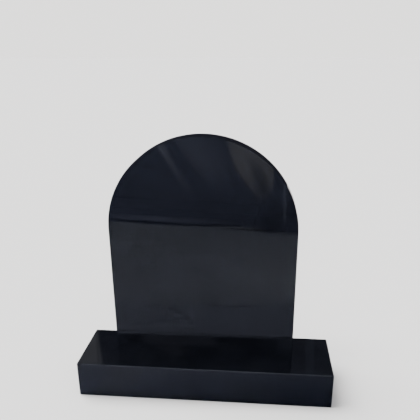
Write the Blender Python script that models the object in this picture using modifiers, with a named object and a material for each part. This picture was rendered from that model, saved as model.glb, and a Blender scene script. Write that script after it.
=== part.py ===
"""Headstone of polished black granite: a round-headed tablet behind a low plinth block.

The tablet is one flat slab with straight sides and a half-round head. The plinth is one
plain block, wider and much lower, whose back face lies against the tablet's front face.
Both stand on the ground.

Metres, +X to the right as seen from the front, +Y to the back, +Z up. The origin is on the
ground, halfway along the plinth's width and halfway through the depth of both pieces.
"""

import math

import bmesh
import bpy

# Plinth block
PLINTH_WIDTH = 0.780
PLINTH_DEPTH = 0.192
PLINTH_HEIGHT = 0.115
PLINTH_ARRIS = 0.003

# Tablet
TABLET_WIDTH = 0.600
TABLET_HEIGHT = 0.785
TABLET_THICKNESS = 0.050
TABLET_ARRIS = 0.002

# The tablet's centre line stands a little to the left of the plinth's
TABLET_SIDE_SHIFT = -0.020

# Clearance between the plinth's back face and the tablet's front face
JOINT_GAP = 0.0003

# Facets of the half-round head and of each rounded arris
HEAD_FACETS = 72
ARRIS_FACETS = 2

# Edges that turn by less than this are facets of a curve, and keep no arris
ARRIS_ANGLE = math.radians(30)
WELD_DISTANCE = 0.00005

# Polished black granite
GRANITE_COLOUR = (0.012, 0.014, 0.018)
GRANITE_ROUGHNESS = 0.1

# Places along the depth, from the front to the back
OVERALL_DEPTH = PLINTH_DEPTH + JOINT_GAP + TABLET_THICKNESS
PLINTH_FRONT = -OVERALL_DEPTH / 2
TABLET_FRONT = PLINTH_FRONT + PLINTH_DEPTH + JOINT_GAP


def clear_scene():
    for item in list(bpy.context.scene.objects):
        bpy.data.objects.remove(item, do_unlink=True)


def new_collection(name):
    collection = bpy.data.collections.new(name)
    bpy.context.scene.collection.children.link(collection)
    return collection


def granite(name):
    """Polished black granite, as a material of its own for each piece."""
    material = bpy.data.materials.new(name)
    material.use_nodes = True
    shader = material.node_tree.nodes["Principled BSDF"]
    shader.inputs["Base Color"].default_value = (*GRANITE_COLOUR, 1.0)
    shader.inputs["Roughness"].default_value = GRANITE_ROUGHNESS
    shader.inputs["Metallic"].default_value = 0.0
    return material


def ease_edges(piece, width):
    """Round every true edge of a stone by a small arris."""
    bevel = piece.modifiers.new("arris", "BEVEL")
    bevel.width = width
    bevel.segments = ARRIS_FACETS
    bevel.limit_method = "ANGLE"
    bevel.angle_limit = ARRIS_ANGLE
    bevel.harden_normals = True


def add_plinth(collection):
    """The low block in front, on the ground."""
    size = (PLINTH_WIDTH, PLINTH_DEPTH, PLINTH_HEIGHT)
    block = bmesh.new()
    bmesh.ops.create_cube(block, size=1)
    bmesh.ops.scale(block, vec=size, verts=block.verts)
    mesh = bpy.data.meshes.new("plinth")
    block.to_mesh(mesh)
    block.free()
    mesh.shade_smooth()
    mesh.materials.append(granite("plinth_granite"))

    plinth = bpy.data.objects.new("plinth", mesh)
    plinth.location = (0, PLINTH_FRONT + PLINTH_DEPTH / 2, PLINTH_HEIGHT / 2)
    ease_edges(plinth, PLINTH_ARRIS)
    collection.objects.link(plinth)


def tablet_outline():
    """The tablet from the front: foot corners, then the half-round head from right to left."""
    radius = TABLET_WIDTH / 2
    springing = TABLET_HEIGHT - radius
    points = [(-radius, 0), (radius, 0)]
    for step in range(HEAD_FACETS + 1):
        angle = math.pi * step / HEAD_FACETS
        points.append((radius * math.cos(angle), springing + radius * math.sin(angle)))
    return points


def add_tablet(collection):
    """The upright slab behind the plinth, with its foot on the ground."""
    curve = bpy.data.curves.new("tablet", "CURVE")
    curve.dimensions = "2D"
    curve.fill_mode = "BOTH"
    curve.extrude = TABLET_THICKNESS / 2
    outline = tablet_outline()
    spline = curve.splines.new("POLY")
    spline.points.add(len(outline) - 1)
    for point, (across, up) in zip(spline.points, outline):
        point.co = (across, up, 0, 1)
    spline.use_cyclic_u = True
    curve.materials.append(granite("tablet_granite"))

    tablet = bpy.data.objects.new("tablet", curve)
    tablet.location = (TABLET_SIDE_SHIFT, TABLET_FRONT + TABLET_THICKNESS / 2, 0)
    tablet.rotation_euler = (math.radians(90), 0, 0)
    weld = tablet.modifiers.new("caps", "WELD")
    weld.merge_threshold = WELD_DISTANCE
    ease_edges(tablet, TABLET_ARRIS)
    collection.objects.link(tablet)


def main():
    clear_scene()
    headstone = new_collection("headstone")
    add_plinth(headstone)
    add_tablet(headstone)


main()
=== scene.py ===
"""Headstone of polished black granite: a round-headed tablet behind a low plinth block.

Both stones are made anew at the part's sizes, with finely rounded arrises, and get a procedural
granite: polished on the faces that show, honed on the back, sawn below. The floor is pale. What
the polish mirrors is set apart from it, on sheets and cards that only reflections see: a darker
floor with an edge, grey ground beyond it, and soft lights and shades around.
Metres, +X to the right as seen from the front, +Y to the back, +Z up.
"""

import math

import bmesh
import bpy
from mathutils import Matrix, Vector


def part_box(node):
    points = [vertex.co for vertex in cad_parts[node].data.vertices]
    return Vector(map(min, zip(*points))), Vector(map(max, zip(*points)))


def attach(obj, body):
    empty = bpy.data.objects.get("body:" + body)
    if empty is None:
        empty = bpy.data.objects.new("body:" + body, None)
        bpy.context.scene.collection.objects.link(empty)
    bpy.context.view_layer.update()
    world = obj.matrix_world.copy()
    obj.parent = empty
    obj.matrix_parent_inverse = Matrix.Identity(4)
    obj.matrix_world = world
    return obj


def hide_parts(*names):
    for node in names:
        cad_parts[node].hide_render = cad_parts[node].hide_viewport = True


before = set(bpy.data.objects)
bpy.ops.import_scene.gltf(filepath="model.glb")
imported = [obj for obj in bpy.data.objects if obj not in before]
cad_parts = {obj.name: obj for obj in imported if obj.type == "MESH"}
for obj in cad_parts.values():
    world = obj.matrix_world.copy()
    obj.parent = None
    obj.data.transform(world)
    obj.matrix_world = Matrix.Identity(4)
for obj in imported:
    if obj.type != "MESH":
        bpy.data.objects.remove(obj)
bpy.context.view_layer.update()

# The stones. The plinth's top arris is finer at the back, where it meets the tablet
TABLET_ARRIS = 0.002
PLINTH_ARRIS = 0.003
BACK_ARRIS = 0.001
ARRIS_FACETS = 5
HEAD_FACETS = 180

# Finishes, in the order of the slots of each stone's mesh
POLISHED, ARRIS, HONED, SAWN, HEAD_ARRIS = range(5)

# A face looks some way if its normal's share in that direction is larger than this
FACING = 0.5

# Lets the broad faces rule the normals where they meet the arrises
BROAD_FACE_WEIGHT = 100

# Granite: its grains and their tones, then clouds, dust, haze and polishing waves. The grains'
# bend and the height of the waves are in metres, and a scale is in features per metre
GRAIN_SCALE = 900.0
GRAIN_BEND_SCALE = 1500.0
GRAIN_BEND = 0.0006
GRAIN_TONES = (
    (0.0, (0.0012, 0.0013, 0.0020)),
    (0.60, (0.0016, 0.0018, 0.0028)),
    (0.85, (0.0024, 0.0028, 0.0041)),
    (0.96, (0.0038, 0.0044, 0.0060)),
    (1.0, (0.0070, 0.0080, 0.0100)),
)
CLOUD_SCALE = 9.0
CLOUD_DEPTH = 0.25
DUST_SCALE = 11.0
DUST_SPECKLE_SCALE = 90.0
DUST_COLOUR = (0.30, 0.31, 0.33)
HAZE_SHARE = 0.35
WAVE_SCALE = 3.5
WAVE_HEIGHT = 0.00006
STONE_IOR = 1.5
SHINE_TINT = (0.74, 0.82, 1.0)

# The camera, from the photograph: metres and degrees
CAMERA_FROM_PLINTH_FRONT = 1.222
CAMERA_X = 0.156
CAMERA_HEIGHT = 1.0324
CAMERA_YAW = 4.318
CAMERA_PITCH = 19.123
CAMERA_ROLL = 0.051
FRAME_PIXELS = 420
FOCAL_PIXELS = 486.50
PRINCIPAL_POINT = (224.13, 215.61)
SENSOR_MM = 36.0

# Floor and light
FLOOR_REACH = 50.0
FLOOR_COLOUR = (0.80, 0.79, 0.775)
BACKDROP_COLOUR = (2.10, 2.07, 2.03)
KEY_TOWARD = (-0.50, 0.12, 1.0)
KEY_DISTANCE = 3.0
KEY_ENERGY = 6.3
KEY_ANGLE = 40.0
SKY_LOW = (0.06, 0.065, 0.08)
SKY_HIGH = (1.75, 1.75, 1.80)

# The sky and the mirrored room turn from their low to their high tone between these heights,
# with 0 at the horizon and 1 straight up
RISE_FROM = 0.58
RISE_TO = 0.86

# The floor that the stones mirror ends in front of them, on a line turned a little
EDGE_FROM_TABLET = 1.330
EDGE_MIDDLE_X = -0.23
EDGE_TURN = 5.9
EDGE_WAVES = (
    (-0.55, 0.000), (-0.42, -0.002), (-0.28, 0.001), (-0.14, 0.0), (-0.07, -0.008), (0.0, -0.015),
    (0.08, -0.022), (0.14, -0.038), (0.21, -0.047), (0.28, -0.054), (0.34, -0.056),
    (0.38, -0.064), (0.42, 0.004), (0.455, 0.058), (0.49, 0.012), (0.53, 0.006), (0.62, 0.014),
)
MIRRORED_BACK = 3.4
MIRRORED_REACH = 6.8
MIRRORED_FLOOR_COLOUR = (0.324, 0.314, 0.316)
MIRRORED_FLOOR_MOTTLE = 0.07
MOTTLE_SCALE = 4.0
MOTTLE_SPOT_SCALE = 22.0
MIRRORED_GROUND_COLOUR = (0.141, 0.143, 0.184)
MIRRORED_HEIGHT = 0.0002
MIRRORED_ROOM_LOW = (0.028, 0.028, 0.040)
MIRRORED_ROOM_HIGH = (0.42, 0.42, 0.45)

# Upright planes of cards, in front of the stones and behind them
SOFTBOX_FROM_TABLET = 3.0
BACK_CARDS_Y = 2.0

# Fineness of a card: steps between two of its rows, and columns
CARD_STEPS = 4
CARD_COLUMNS = 10

# Each card lies this much further back than the one before it in its plane, or above it if level
CARD_GAP = 0.0005
NO_GLOW = (0.0, 0.0, 0.0)
CLEAR = (1.0, 1.0, 1.0)

# Sides of the wide cards on the floor, and their last row, along the mirrored floor's edge
FLOOR_CARD_SIDES = (-1.20, 1.60)
FLOOR_CARD_END = (0.0, (-1.20, 1.238), (1.60, 0.949))


def stone_size(node):
    """Lowest and highest corner of one of the part's stones."""
    low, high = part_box(node)
    return Vector(low), Vector(high)


# Shader building

class Shader:
    """A material's node tree, with short calls to add and join nodes."""

    def __init__(self, name):
        self.material = bpy.data.materials.new(name)
        self.material.use_nodes = True
        self.tree = self.material.node_tree
        self.surface = self.tree.nodes["Principled BSDF"]

    def join(self, socket, value):
        """Links a socket to an input, or gives the input a value of its own."""
        if isinstance(value, bpy.types.NodeSocket):
            self.tree.links.new(value, socket)
        else:
            socket.default_value = value

    def node(self, kind, inputs=None, **settings):
        made = self.tree.nodes.new(kind)
        for key, value in settings.items():
            setattr(made, key, value)
        for key, value in (inputs or {}).items():
            self.join(made.inputs[key], value)
        return made

    def math(self, operation, a, b):
        return self.node("ShaderNodeMath", {0: a, 1: b}, operation=operation).outputs[0]

    def vector(self, operation, inputs):
        return self.node("ShaderNodeVectorMath", inputs, operation=operation).outputs[0]

    def place(self):
        """Where a point lies on the object."""
        return self.node("ShaderNodeTexCoord").outputs["Object"]

    def noise(self, where, scale, detail=2.0, roughness=0.5):
        values = {"Vector": where, "Scale": scale, "Detail": detail, "Roughness": roughness}
        return self.node("ShaderNodeTexNoise", values).outputs

    def spread(self, value, low, high, new_low=0.0, new_high=1.0):
        """Turns the stretch from low to high smoothly into the one from new_low to new_high."""
        values = {"Value": value, "From Min": low, "From Max": high}
        values.update({"To Min": new_low, "To Max": new_high})
        return self.node("ShaderNodeMapRange", values, interpolation_type="SMOOTHSTEP").outputs[0]

    def ramp(self, value, stops):
        made = self.node("ShaderNodeValToRGB", {"Fac": value})
        set_ramp(made.color_ramp, stops)
        return made.outputs["Color"]

    def mix(self, share, a, b):
        """The colour that lies the given share of the way from a to b."""
        made = self.node("ShaderNodeMix", data_type="RGBA")
        sockets = [socket for socket in made.inputs if socket.enabled]
        for socket, value in zip(sockets, (share, a, b)):
            self.join(socket, value)
        return next(socket for socket in made.outputs if socket.enabled)

    def feed(self, socket, value):
        """Links a socket to the surface, or sets one of the surface's inputs."""
        self.join(self.surface.inputs[socket], value)


def opaque(colour):
    """A colour as the inputs of shaders take it."""
    return (*colour, 1.0)


def set_ramp(band, stops):
    """Gives a colour ramp its stops, as (position, colour) pairs."""
    while len(band.elements) < len(stops):
        band.elements.new(1.0)
    for element, (position, colour) in zip(band.elements, stops):
        element.position = position
        element.color = opaque(colour)


def granite(name, roughness, lightness, dust, shine):
    """Black granite: interlocking grains, a few paler flecks, soft clouds and a little dust.

    lightness multiplies the colours of the grains, which show more where the stone isn't polished.
    """
    shader = Shader(name)
    place = shader.place()

    # Grain outlines are bent a little, so that the cells don't look cut
    bend = shader.noise(place, GRAIN_BEND_SCALE)["Color"]
    bent = shader.vector("MULTIPLY", {0: bend, 1: (GRAIN_BEND,) * 3})
    where = shader.vector("ADD", {0: place, 1: bent})
    cells = shader.node("ShaderNodeTexVoronoi", {"Vector": where, "Scale": GRAIN_SCALE})
    kinds = shader.node("ShaderNodeSeparateColor", {"Color": cells.outputs["Color"]})
    grain = shader.ramp(kinds.outputs["Red"], GRAIN_TONES)
    clouds = shader.noise(place, CLOUD_SCALE, detail=5.0, roughness=0.6)["Fac"]
    darkest = (1 - CLOUD_DEPTH) * lightness
    palest = (1 + CLOUD_DEPTH) * lightness
    shade = shader.spread(clouds, 0.3, 0.7, darkest, palest)
    tinted = shader.vector("SCALE", {0: grain, "Scale": shade})

    # Dust lies in faint patches
    patches = shader.noise(place, DUST_SCALE, detail=4.0, roughness=0.55)["Fac"]
    speckle = shader.noise(place, DUST_SPECKLE_SCALE)["Fac"]
    dusty = shader.spread(patches, 0.42, 0.78)
    fine = shader.spread(speckle, 0.35, 0.75, 0.4, 1.0)
    amount = shader.math("MULTIPLY", shader.math("MULTIPLY", dusty, fine), dust)
    shader.feed("Base Color", shader.mix(amount, tinted, opaque(DUST_COLOUR)))

    # The polish is a little hazier in the same patches
    haze = shader.spread(patches, 0.35, 0.75, 0.0, HAZE_SHARE * roughness)
    shader.feed("Roughness", shader.math("ADD", haze, roughness))

    # Long low waves that the polishing heads leave
    waves = shader.noise(place, WAVE_SCALE, detail=1.0)["Fac"]
    bump = {"Height": waves, "Strength": 1.0, "Distance": WAVE_HEIGHT}
    shader.feed("Normal", shader.node("ShaderNodeBump", bump).outputs["Normal"])
    shader.feed("Specular IOR Level", shine)
    shader.feed("Specular Tint", opaque(SHINE_TINT))
    shader.feed("IOR", STONE_IOR)
    return shader.material


def granite_set():
    """The finishes of a stone, in the order of the slots."""
    return [
        granite("granite_polished", roughness=0.026, lightness=1.3, dust=0.005, shine=0.5),
        granite("granite_arris", roughness=0.14, lightness=1.6, dust=0.015, shine=0.5),
        granite("granite_honed", roughness=0.42, lightness=5.0, dust=0.03, shine=0.5),
        granite("granite_sawn", roughness=0.65, lightness=9.0, dust=0.08, shine=0.5),
        granite("granite_head_arris", roughness=0.20, lightness=1.6, dust=0.015, shine=0.15),
    ]


# The two stones

def finish_stone(mesh_data, name, node, finishes):
    """Makes a stone of a mesh, in place of the part's own solid of that node."""
    mesh = bpy.data.meshes.new(name)
    mesh_data.to_mesh(mesh)
    mesh_data.free()
    for finish in finishes:
        mesh.materials.append(finish)
    mesh.shade_smooth()
    stone = bpy.data.objects.new(name, mesh)
    bpy.context.scene.collection.objects.link(stone)
    weighted = stone.modifiers.new("flat faces", "WEIGHTED_NORMAL")
    weighted.weight = BROAD_FACE_WEIGHT
    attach(stone, "root")
    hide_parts(node)
    return stone


def make_plinth(finishes):
    """A block with rounded arrises; its back and underside aren't polished."""
    low, high = stone_size("plinth")
    block = bmesh.new()
    bmesh.ops.create_cube(block, size=1)
    bmesh.ops.scale(block, vec=high - low, verts=block.verts)
    bmesh.ops.translate(block, vec=(low + high) / 2, verts=block.verts)
    for face in block.faces:
        if face.normal.y > FACING:
            face.material_index = HONED
        elif face.normal.z < -FACING:
            face.material_index = SAWN
    sharpness = block.edges.layers.float.new("bevel_weight_edge")
    for edge in block.edges:
        at_back = all(vert.co.y > high.y - PLINTH_ARRIS for vert in edge.verts)
        at_top = all(vert.co.z > high.z - PLINTH_ARRIS for vert in edge.verts)
        edge[sharpness] = BACK_ARRIS / PLINTH_ARRIS if at_back and at_top else 1.0
    plinth = finish_stone(block, "plinth_block", "plinth", finishes)
    bevel = plinth.modifiers.new("arris", "BEVEL")
    bevel.width = PLINTH_ARRIS
    bevel.segments = ARRIS_FACETS
    bevel.limit_method = "WEIGHT"
    bevel.material = ARRIS
    # The arris comes first, and the normals are set on it
    plinth.modifiers.move(1, 0)


def tablet_ring(low, high, inset, depth):
    """Points round the tablet's outline, moved in by inset, at a depth: the foot, then the head."""
    half = (high.x - low.x) / 2
    middle = (low.x + high.x) / 2
    springing = high.z - half
    radius = half - inset
    ring = [(middle - radius, depth, low.z + inset), (middle + radius, depth, low.z + inset)]
    for step in range(HEAD_FACETS + 1):
        angle = math.pi * step / HEAD_FACETS
        across = middle + radius * math.cos(angle)
        ring.append((across, depth, springing + radius * math.sin(angle)))
    return ring


def make_tablet(finishes):
    """A slab of even thickness with a half-round head, as rings from the front to the back."""
    low, high = stone_size("tablet")
    profile = []
    for step in range(ARRIS_FACETS + 1):
        angle = math.radians(90) * step / ARRIS_FACETS
        profile.append((TABLET_ARRIS * (1 - math.sin(angle)), TABLET_ARRIS * (1 - math.cos(angle))))
    rings = [tablet_ring(low, high, inset, low.y + depth) for inset, depth in profile]
    rings += [tablet_ring(low, high, inset, high.y - depth) for inset, depth in reversed(profile)]

    slab = bmesh.new()
    loops = [[slab.verts.new(point) for point in ring] for ring in rings]
    count = len(loops[0])
    side = len(profile) - 1
    for ring, (near, far) in enumerate(zip(loops, loops[1:])):
        for here in range(count):
            after = (here + 1) % count
            face = slab.faces.new((near[here], near[after], far[after], far[here]))
            if ring != side:
                face.material_index = HEAD_ARRIS
            elif here == 0:
                face.material_index = SAWN
            else:
                face.material_index = POLISHED

    # The front and the back are ladders of faces from the foot up to the crown
    for loop, finish in ((loops[0], POLISHED), (loops[-1], HONED)):
        right, left = 1, count
        while left - right > 2:
            corners = [loop[left % count], loop[right], loop[right + 1], loop[left - 1]]
            slab.faces.new(corners).material_index = finish
            right, left = right + 1, left - 1
        slab.faces.new((loop[left], loop[right], loop[right + 1])).material_index = finish
    bmesh.ops.recalc_face_normals(slab, faces=slab.faces)
    finish_stone(slab, "tablet_slab", "tablet", finishes)


# Floor, and what the polish mirrors

def only_mirrored(thing):
    """Leaves an object to reflections alone."""
    thing.visible_camera = False
    thing.visible_diffuse = False
    thing.visible_transmission = False
    thing.visible_shadow = False


def flat_sheet(name, corners, height, colour, mottle=0.0):
    """A level, matt sheet that isn't part of the headstone. mottle is how much its tone varies."""
    mesh = bpy.data.meshes.new(name)
    mesh.from_pydata([(x, y, height) for x, y in corners], [], [tuple(range(len(corners)))])
    sheet = bpy.data.objects.new(name, mesh)
    bpy.context.scene.collection.objects.link(sheet)
    shader = Shader(name)
    shader.feed("Base Color", opaque(colour))
    shader.feed("Roughness", 1.0)
    shader.feed("Specular IOR Level", 0.0)
    if mottle:
        place = shader.place()
        broad = shader.noise(place, MOTTLE_SCALE, detail=7.0, roughness=0.62)["Fac"]
        spots = shader.noise(place, MOTTLE_SPOT_SCALE)["Fac"]
        tone = shader.math("ADD", shader.spread(broad, 0.3, 0.7, 1.0 - mottle, 1.0 + mottle),
                           shader.spread(spots, 0.62, 0.74, 0.0, -1.5 * mottle))
        shader.feed("Base Color", shader.vector("SCALE", {0: colour, "Scale": tone}))
    mesh.materials.append(shader.material)
    return sheet


class CardPlane:
    """A plane that cards lie in: a point in it, and its directions across and up.

    On the floor, up leads away from the line that cards start at: its edge, or the plinth's front.
    """

    def __init__(self, origin, across, up=(0, 0, 1)):
        self.origin, self.across, self.up = Vector(origin), Vector(across), Vector(up)

    def point(self, across, up):
        return self.origin + self.across * across + self.up * up

    def advance(self):
        """Moves the plane by the gap between two cards: backwards, or upwards if it lies level."""
        self.origin += CARD_GAP * (Vector((0, 1, 0)) if self.up.z else Vector((0, 0, 1)))


def mirror_planes(tablet_front, plinth_front):
    """Where the cards lie: at the floor's far edge, on the floor, and upright before and behind."""
    turn = math.radians(EDGE_TURN)
    along = (math.cos(turn), math.sin(turn), 0)
    inward = (-math.sin(turn), math.cos(turn), 0)
    middle = Vector((EDGE_MIDDLE_X, tablet_front - EDGE_FROM_TABLET, 0))
    above_floor = Vector((0, 0, 2 * MIRRORED_HEIGHT))
    return {
        "edge": CardPlane(middle, along),
        "floor_edge": CardPlane(middle + above_floor, along, inward),
        "forecourt": CardPlane(Vector((0, plinth_front, 0)) + above_floor, (1, 0, 0), (0, -1, 0)),
        "front": CardPlane((0, tablet_front - SOFTBOX_FROM_TABLET, 0), (1, 0, 0)),
        "back": CardPlane((0, BACK_CARDS_Y, 0), (1, 0, 0)),
    }


def make_floor(floor_edge):
    """The pale floor, and the two sheets that the stones mirror in its stead."""
    far = FLOOR_REACH
    corners = [(-far, -far), (far, -far), (far, far), (-far, far)]
    floor = flat_sheet("floor", corners, 0.0, FLOOR_COLOUR)
    floor.visible_glossy = False

    far = MIRRORED_REACH
    waves = [(-far, 0.0), *EDGE_WAVES, (far, EDGE_WAVES[-1][1])]
    edge = [tuple(floor_edge.point(along, inward))[:2] for along, inward in waves]
    near = [*edge, (far, MIRRORED_BACK), (-far, MIRRORED_BACK)]
    beyond = [(-far, -far), (far, -far), *reversed(edge)]
    mirrored_floor = flat_sheet("mirrored_floor", near, MIRRORED_HEIGHT, MIRRORED_FLOOR_COLOUR,
                                mottle=MIRRORED_FLOOR_MOTTLE)
    mirrored_ground = flat_sheet("mirrored_ground", beyond, MIRRORED_HEIGHT, MIRRORED_GROUND_COLOUR)
    only_mirrored(mirrored_floor)
    only_mirrored(mirrored_ground)


def card_material(name, glow, sides, hidden, through):
    """Adds a glow to what lies behind, or dims it, as strongly as the rows of the card say.

    sides is the share of the card's width over which it fades at its left and at its right, and
    hidden the share outside that, where it does nothing.
    """
    shader = Shader(name)
    cover = shader.node("ShaderNodeAttribute", attribute_name="strength").outputs["Fac"]
    across = shader.node("ShaderNodeAttribute", attribute_name="across").outputs["Fac"]
    left, right = hidden[0], 1.0 - hidden[1]
    for start, end in ((left, left + sides[0]), (right, right - sides[1])):
        if start != end:
            cover = shader.math("MULTIPLY", cover, shader.spread(across, start, end))
    clear = shader.node("ShaderNodeBsdfTransparent")
    if through != CLEAR:
        dimmed = shader.mix(cover, opaque(CLEAR), opaque(through))
        shader.join(clear.inputs["Color"], dimmed)
    light = shader.node("ShaderNodeEmission", {"Color": opaque(glow), "Strength": cover})
    both = shader.node("ShaderNodeAddShader", {0: clear.outputs[0], 1: light.outputs[0]})
    shader.join(shader.tree.nodes["Material Output"].inputs["Surface"], both.outputs[0])
    return shader.material


def level_rows(sides, levels):
    """Rows of a card with the same two sides, from pairs of strength and height."""
    left, right = sides
    return [(strength, (left, up), (right, up)) for strength, up in levels]


def make_card(name, plane, rows, sides, hidden=(0.0, 0.0), glow=NO_GLOW, through=CLEAR):
    """A card that only reflections see, with rows (strength, left, right) from the bottom up."""
    plane.advance()
    levels = []
    for (strength, left, right), (next_strength, next_left, next_right) in zip(rows, rows[1:]):
        for step in range(CARD_STEPS):
            share = step / CARD_STEPS
            between = strength + (next_strength - strength) * share
            left_end = Vector(left).lerp(next_left, share)
            right_end = Vector(right).lerp(next_right, share)
            levels.append((between, left_end, right_end))
    levels.append((rows[-1][0], Vector(rows[-1][1]), Vector(rows[-1][2])))

    places, strengths, shares = [], [], []
    for strength, left, right in levels:
        for column in range(CARD_COLUMNS + 1):
            share = column / CARD_COLUMNS
            places.append(plane.point(*left.lerp(right, share)))
            strengths.append(strength)
            shares.append(share)
    width = CARD_COLUMNS + 1
    faces = []
    for row in range(len(levels) - 1):
        for column in range(CARD_COLUMNS):
            corner = row * width + column
            faces.append((corner, corner + 1, corner + width + 1, corner + width))
    mesh = bpy.data.meshes.new(name)
    mesh.from_pydata(places, [], faces)
    mesh.attributes.new("strength", "FLOAT", "POINT").data.foreach_set("value", strengths)
    mesh.attributes.new("across", "FLOAT", "POINT").data.foreach_set("value", shares)
    mesh.materials.append(card_material(name, glow, sides, hidden, through))
    thing = bpy.data.objects.new(name, mesh)
    bpy.context.scene.collection.objects.link(thing)
    only_mirrored(thing)


def make_front_cards(front):
    """What is mirrored twice, by the tablet's foot and then by the plinth's top."""
    make_card("front_softbox", front, [
        (0.0, (-2.00, 1.40), (2.60, 1.40)),
        (1.0, (-2.00, 1.55), (2.60, 1.55)),
        (1.1, (-2.00, 2.0945), (2.60, 2.0415)),
        (0.0, (-2.00, 2.1035), (2.60, 2.0505)),
    ], glow=(8.7, 8.1, 8.2), sides=(0.08, 0.56))
    make_card("front_left_lift", front, level_rows((-2.20, -0.50), [
        (0.0, 1.60), (1.0, 1.95), (1.0, 2.09), (0.0, 2.105),
    ]), glow=(1.2, 1.1, 1.1), sides=(0.0, 0.6))
    make_card("front_band", front, [
        (0.0, (-1.15, 2.096), (-0.20, 2.085)),
        (1.0, (-1.15, 2.106), (-0.20, 2.095)),
        (0.9, (-1.15, 2.190), (-0.20, 2.180)),
        (0.0, (-1.15, 2.230), (-0.20, 2.220)),
    ], glow=(2.6, 2.4, 2.4), sides=(0.20, 0.14))
    make_card("front_right_spot", front, [
        (0.0, (0.34, 2.065), (0.62, 2.062)),
        (1.0, (0.34, 2.085), (0.62, 2.082)),
        (0.7, (0.34, 2.200), (0.62, 2.200)),
        (0.0, (0.34, 2.290), (0.62, 2.290)),
    ], glow=(1.7, 1.6, 1.6), sides=(0.35, 0.1))
    make_card("front_low_haze", front, [
        (0.0, (-0.30, 2.060), (0.60, 2.056)),
        (1.0, (-0.30, 2.075), (0.60, 2.070)),
        (1.0, (-0.30, 2.170), (0.60, 2.160)),
        (0.0, (-0.30, 2.260), (0.60, 2.260)),
    ], glow=(0.75, 0.75, 0.80), sides=(0.25, 0.1))
    make_card("front_blotch", front, [
        (0.0, (-0.95, 2.15), (-0.52, 2.15)),
        (1.0, (-0.93, 2.24), (-0.54, 2.24)),
        (0.6, (-0.90, 2.34), (-0.58, 2.34)),
        (0.0, (-0.86, 2.44), (-0.62, 2.44)),
    ], glow=(0.9, 0.75, 0.65), sides=(0.4, 0.4))
    make_card("front_haze", front, level_rows((-1.20, 0.90), [
        (0.0, 2.15), (0.8, 2.24), (1.0, 2.38), (0.8, 2.60), (0.0, 2.85),
    ]), glow=(0.45, 0.44, 0.47), sides=(0.25, 0.15))


def make_back_cards(back):
    """What the plinth's top mirrors beside the tablet."""
    make_card("back_left", back, [
        (0.0, (-4.00, 0.90), (-1.140, 0.90)),
        (1.0, (-4.00, 1.20), (-1.142, 1.20)),
        (1.0, (-4.00, 2.00), (-1.142, 2.00)),
        (0.0, (-4.00, 2.20), (-1.142, 2.20)),
    ], glow=(0.41, 0.395, 0.375), sides=(0.20, 0.006))
    make_card("back_left_shoulder", back, [
        (0.0, (-1.158, 0.90), (-1.112, 0.90)),
        (1.0, (-1.160, 1.20), (-1.112, 1.20)),
        (1.0, (-1.160, 1.50), (-1.108, 1.50)),
        (1.0, (-1.160, 2.00), (-1.075, 2.00)),
        (0.0, (-1.160, 2.20), (-1.060, 2.20)),
    ], glow=(0.28, 0.27, 0.26), sides=(0.35, 0.60))
    make_card("back_left_fade", back, [
        (0.0, (-1.12, 1.35), (-0.97, 1.35)),
        (1.0, (-1.14, 1.70), (-0.93, 1.70)),
        (1.0, (-1.16, 2.00), (-0.92, 2.00)),
    ], glow=(0.06, 0.06, 0.065), sides=(0.0, 0.9))
    make_card("back_right", back, [
        (0.0, (0.520, 0.90), (0.590, 0.90)),
        (1.0, (0.530, 1.20), (0.608, 1.20)),
        (1.0, (0.565, 2.00), (0.656, 2.00)),
        (0.0, (0.575, 2.20), (0.668, 2.20)),
    ], glow=(0.04, 0.045, 0.055), sides=(0.30, 0.06))
    make_card("back_right_wide", back, level_rows((0.38, 1.60), [
        (0.0, 0.90), (1.0, 1.20), (1.0, 2.00), (0.0, 2.20),
    ]), glow=(0.052, 0.052, 0.060), sides=(0.04, 0.30))


def make_floor_cards(forecourt, floor_edge):
    """What the plinth's front mirrors: the floor in a soft shade, deeper on the right."""
    make_card("near_shade", forecourt, level_rows((-1.1, 1.1), [
        (1.0, -0.20), (1.0, 0.00), (0.70, 0.10), (0.32, 0.17), (0.08, 0.24), (0.0, 0.32),
    ]) + [(0.0, (-1.1, 1.228), (1.1, 1.00))], sides=(0.0, 0.0), through=(0.71, 0.745, 0.93))
    make_card("right_shade", forecourt, level_rows(FLOOR_CARD_SIDES, [
        (1.0, -0.20), (1.0, 0.04), (0.74, 0.13), (0.12, 0.27), (0.0, 0.35),
    ]) + [FLOOR_CARD_END], sides=(0.250, 0.20), hidden=(0.286, 0.07), through=(0.37, 0.395, 0.455))
    make_card("right_end_shade", forecourt, level_rows(FLOOR_CARD_SIDES, [
        (1.0, -0.20), (1.0, 0.10), (0.0, 0.34),
    ]) + [FLOOR_CARD_END], sides=(0.05, 0.20), hidden=(0.51, 0.07), through=(0.86, 0.86, 0.90))
    make_card("far_shade", floor_edge, level_rows((-2.0, 2.0), [
        (1.0, -0.02), (0.9, 0.18), (0.5, 0.36), (0.1, 0.54), (0.0, 0.64), (0.0, 1.20),
    ]), sides=(0.0, 0.0), through=(0.93, 0.93, 0.93))
    # Painted light: a warm glow laid over a patch of the mirrored floor
    make_card("floor_light_patch", forecourt, level_rows(FLOOR_CARD_SIDES, [
        (0.0, -0.20), (0.0, 0.24), (0.7, 0.34), (1.0, 0.46), (1.0, 0.62), (0.0, 0.86),
    ]) + [FLOOR_CARD_END], glow=(0.090, 0.078, 0.050), sides=(0.10, 0.10), hidden=(0.41, 0.35))
    make_card("floor_glow", forecourt, level_rows((-1.20, 1.20), [
        (0.0, -0.20), (0.0, 0.10), (0.9, 0.20), (1.0, 0.32), (0.4, 0.56), (0.0, 0.76),
    ]) + [(0.0, (-1.20, 1.238), (1.20, 0.990))], glow=(0.050, 0.050, 0.055), sides=(0.0, 0.0))


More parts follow.
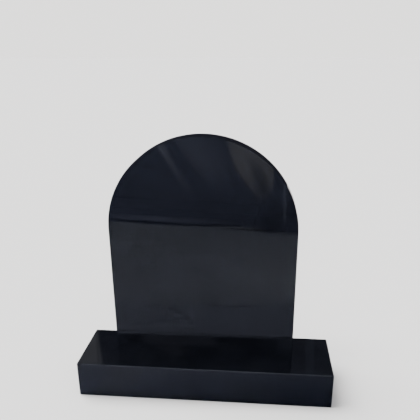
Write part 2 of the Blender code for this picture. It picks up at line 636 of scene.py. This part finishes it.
def make_upper_cards(edge, floor_edge):
    """What the upper part of the tablet mirrors."""
    make_card("upper_glow", edge, level_rows((-1.2, 1.2), [
        (0.00, 0.10), (0.13, 0.23), (0.45, 0.37), (0.90, 0.58), (1.00, 0.95),
    ]), glow=(0.11, 0.115, 0.138), sides=(0.02, 0.02))
    make_card("streak_left", edge, [
        (0.00, (-0.050, 0.205), (0.000, 0.208)),
        (0.85, (-0.130, 0.340), (-0.080, 0.343)),
        (1.25, (-0.178, 0.408), (-0.120, 0.411)),
        (1.60, (-0.222, 0.476), (-0.152, 0.479)),
        (1.90, (-0.264, 0.543), (-0.178, 0.546)),
        (2.00, (-0.292, 0.600), (-0.200, 0.600)),
    ], glow=(0.36, 0.34, 0.32), sides=(0.35, 0.35))
    make_card("streak_middle", edge, [
        (0.00, (0.092, 0.265), (0.305, 0.275)),
        (0.95, (-0.012, 0.372), (0.290, 0.385)),
        (1.00, (-0.081, 0.470), (0.270, 0.480)),
        (0.90, (-0.143, 0.561), (0.255, 0.572)),
        (0.90, (-0.160, 0.600), (0.250, 0.610)),
    ], glow=(0.235, 0.218, 0.205), sides=(0.08, 0.75))
    make_card("patch_right", edge, [
        (0.00, (0.395, 0.180), (0.425, 0.185)),
        (0.25, (0.365, 0.215), (0.440, 0.220)),
        (0.35, (0.335, 0.245), (0.458, 0.251)),
        (0.50, (0.305, 0.280), (0.470, 0.288)),
        (0.75, (0.241, 0.359), (0.469, 0.369)),
        (0.80, (0.204, 0.451), (0.466, 0.461)),
        (0.78, (0.178, 0.564), (0.462, 0.573)),
        (0.78, (0.165, 0.640), (0.460, 0.650)),
    ], glow=(0.82, 0.70, 0.48), sides=(0.14, 0.012))
    make_card("patch_right_hollow", edge, [
        (0.0, (-0.590, 0.16), (1.410, 0.16)),
        (0.0, (-0.592, 0.21), (1.408, 0.21)),
        (0.9, (-0.597, 0.26), (1.403, 0.26)),
        (1.0, (-0.606, 0.31), (1.394, 0.31)),
        (0.9, (-0.624, 0.36), (1.376, 0.36)),
        (0.5, (-0.645, 0.41), (1.355, 0.41)),
        (0.0, (-0.669, 0.46), (1.331, 0.46)),
        (0.0, (-0.760, 0.66), (1.240, 0.66)),
    ], sides=(0.022, 0.020), hidden=(0.472, 0.474), through=(0.58, 0.60, 0.66))
    make_card("post", edge, [
        (0.00, (0.531, 0.068), (0.549, 0.069)),
        (0.90, (0.530, 0.095), (0.548, 0.096)),
        (0.80, (0.528, 0.195), (0.547, 0.196)),
        (1.00, (0.522, 0.290), (0.542, 0.291)),
        (0.00, (0.521, 0.315), (0.541, 0.316)),
    ], glow=(0.58, 0.59, 0.62), sides=(0.3, 0.3))
    make_card("dark_corner", edge, [
        (1.0, (0.350, -0.01), (0.560, -0.01)),
        (1.0, (0.360, 0.05), (0.560, 0.05)),
        (0.6, (0.380, 0.11), (0.555, 0.11)),
        (0.2, (0.400, 0.17), (0.550, 0.17)),
        (0.0, (0.410, 0.23), (0.550, 0.23)),
    ], sides=(0.50, 0.40), through=(0.64, 0.64, 0.64))
    make_card("dark_corner_foot", floor_edge, [
        (1.0, (0.395, -0.02), (0.510, -0.02)),
        (1.0, (0.405, 0.04), (0.505, 0.04)),
        (0.0, (0.415, 0.07), (0.500, 0.07)),
    ], sides=(0.35, 0.35), through=(0.68, 0.68, 0.68))
    make_card("rim_shade", edge, [
        (0.0, (0.552, 0.06), (0.90, 0.06)),
        (1.0, (0.552, 0.10), (0.90, 0.10)),
        (1.0, (0.548, 0.26), (0.90, 0.26)),
        (0.0, (0.545, 0.34), (0.90, 0.34)),
    ], sides=(0.05, 0.0), through=(0.72, 0.72, 0.75))
    make_card("right_dim", edge, level_rows((-1.00, 1.00), [
        (1.00, 0.00), (0.90, 0.06), (0.65, 0.13), (0.35, 0.20), (0.12, 0.27), (0.02, 0.34),
        (0.00, 0.40), (0.00, 1.00),
    ]), sides=(0.45, 0.0), hidden=(0.25, 0.0), through=(0.67, 0.66, 0.66))


def make_edge_cards(edge, floor_edge):
    """The line along the floor's edge, a stretch of painted light above it, painted shade before
    it.
    """
    make_card("edge_line", edge, [
        (0.0, (-0.70, 0.007), (0.06, 0.003)),
        (1.0, (-0.70, 0.012), (0.06, 0.009)),
        (1.0, (-0.70, 0.021), (0.06, 0.018)),
        (0.0, (-0.70, 0.028), (0.06, 0.026)),
    ], sides=(0.02, 0.08), through=(0.50, 0.50, 0.54))
    make_card("edge_line_right", edge, [
        (0.0, (0.00, 0.0035), (0.28, 0.018)),
        (1.0, (0.00, 0.0090), (0.28, 0.024)),
        (1.0, (0.00, 0.0180), (0.28, 0.033)),
        (0.0, (0.00, 0.0255), (0.28, 0.041)),
    ], sides=(0.18, 0.50), through=(0.48, 0.48, 0.52))
    make_card("edge_stretch", edge, [
        (0.0, (-0.70, 0.016), (0.30, 0.026)),
        (1.0, (-0.70, 0.026), (0.30, 0.034)),
        (0.9, (-0.70, 0.044), (0.30, 0.050)),
        (0.0, (-0.70, 0.060), (0.30, 0.062)),
    ], glow=(0.42, 0.40, 0.44), sides=(0.60, 0.75))
    make_card("edge_shade", floor_edge, level_rows((-1.00, 1.00), [
        (1.0, -0.02), (0.7, 0.03), (0.2, 0.10), (0.0, 0.17), (0.0, 1.20),
    ]), sides=(0.10, 0.0), hidden=(0.50, 0.0), through=(0.76, 0.76, 0.78))


# Light and camera

def make_world():
    """The camera sees a pale backdrop, the polish a room dark low down, and the rest a soft sky."""
    world = bpy.data.worlds.new("studio")
    bpy.context.scene.world = world
    world.use_nodes = True
    tree = world.node_tree

    def background(colour):
        made = tree.nodes.new("ShaderNodeBackground")
        made.inputs["Color"].default_value = opaque(colour)
        return made

    def rising(low, high):
        where = tree.nodes.new("ShaderNodeTexCoord").outputs["Generated"]
        axes = tree.nodes.new("ShaderNodeSeparateXYZ")
        tree.links.new(where, axes.inputs[0])
        ramp = tree.nodes.new("ShaderNodeValToRGB")
        tree.links.new(axes.outputs["Z"], ramp.inputs["Fac"])
        set_ramp(ramp.color_ramp, [(RISE_FROM, low), (RISE_TO, high)])
        made = tree.nodes.new("ShaderNodeBackground")
        tree.links.new(ramp.outputs["Color"], made.inputs["Color"])
        return made

    def choose(chosen_for, there, otherwise):
        made = tree.nodes.new("ShaderNodeMixShader")
        tree.links.new(tree.nodes.new("ShaderNodeLightPath").outputs[chosen_for], made.inputs[0])
        tree.links.new(otherwise.outputs[0], made.inputs[1])
        tree.links.new(there.outputs[0], made.inputs[2])
        return made

    mirrored = rising(MIRRORED_ROOM_LOW, MIRRORED_ROOM_HIGH)
    sky = rising(SKY_LOW, SKY_HIGH)
    others = choose("Is Glossy Ray", mirrored, sky)
    whole = choose("Is Camera Ray", background(BACKDROP_COLOUR), others)
    tree.links.new(whole.outputs[0], tree.nodes["World Output"].inputs["Surface"])


def make_light():
    """One broad soft light, high at the back left, which leaves no glint in the polish."""
    light = bpy.data.lights.new("key", "SUN")
    light.energy = KEY_ENERGY
    light.angle = math.radians(KEY_ANGLE)
    lamp = bpy.data.objects.new("key", light)
    toward = Vector(KEY_TOWARD)
    lamp.rotation_euler = toward.to_track_quat("Z", "Y").to_euler()
    lamp.location = toward * KEY_DISTANCE
    lamp.visible_glossy = False
    bpy.context.scene.collection.objects.link(lamp)


def make_camera(plinth_front):
    """The photograph's camera: above the tablet's head, looking down."""
    data = bpy.data.cameras.new("camera")
    data.sensor_width = SENSOR_MM
    data.lens = FOCAL_PIXELS / FRAME_PIXELS * SENSOR_MM
    centre = FRAME_PIXELS / 2
    data.shift_x = (centre - PRINCIPAL_POINT[0]) / FRAME_PIXELS
    data.shift_y = (PRINCIPAL_POINT[1] - centre) / FRAME_PIXELS
    camera = bpy.data.objects.new("camera", data)
    place = Vector((CAMERA_X, plinth_front - CAMERA_FROM_PLINTH_FRONT, CAMERA_HEIGHT))
    turn = Matrix.Rotation(math.radians(CAMERA_YAW), 4, "Z")
    tilt = Matrix.Rotation(math.radians(90 - CAMERA_PITCH), 4, "X")
    roll = Matrix.Rotation(math.radians(CAMERA_ROLL), 4, "Z")
    camera.matrix_world = Matrix.Translation(place) @ turn @ tilt @ roll
    bpy.context.scene.collection.objects.link(camera)
    bpy.context.scene.camera = camera


def main():
    finishes = granite_set()
    make_plinth(finishes)
    make_tablet(finishes)
    tablet_front = stone_size("tablet")[0].y
    plinth_front = stone_size("plinth")[0].y
    planes = mirror_planes(tablet_front, plinth_front)
    make_floor(planes["floor_edge"])
    make_front_cards(planes["front"])
    make_back_cards(planes["back"])
    make_floor_cards(planes["forecourt"], planes["floor_edge"])
    make_upper_cards(planes["edge"], planes["floor_edge"])
    make_edge_cards(planes["edge"], planes["floor_edge"])
    make_world()
    make_light()
    make_camera(plinth_front)
    bpy.context.view_layer.update()


main()
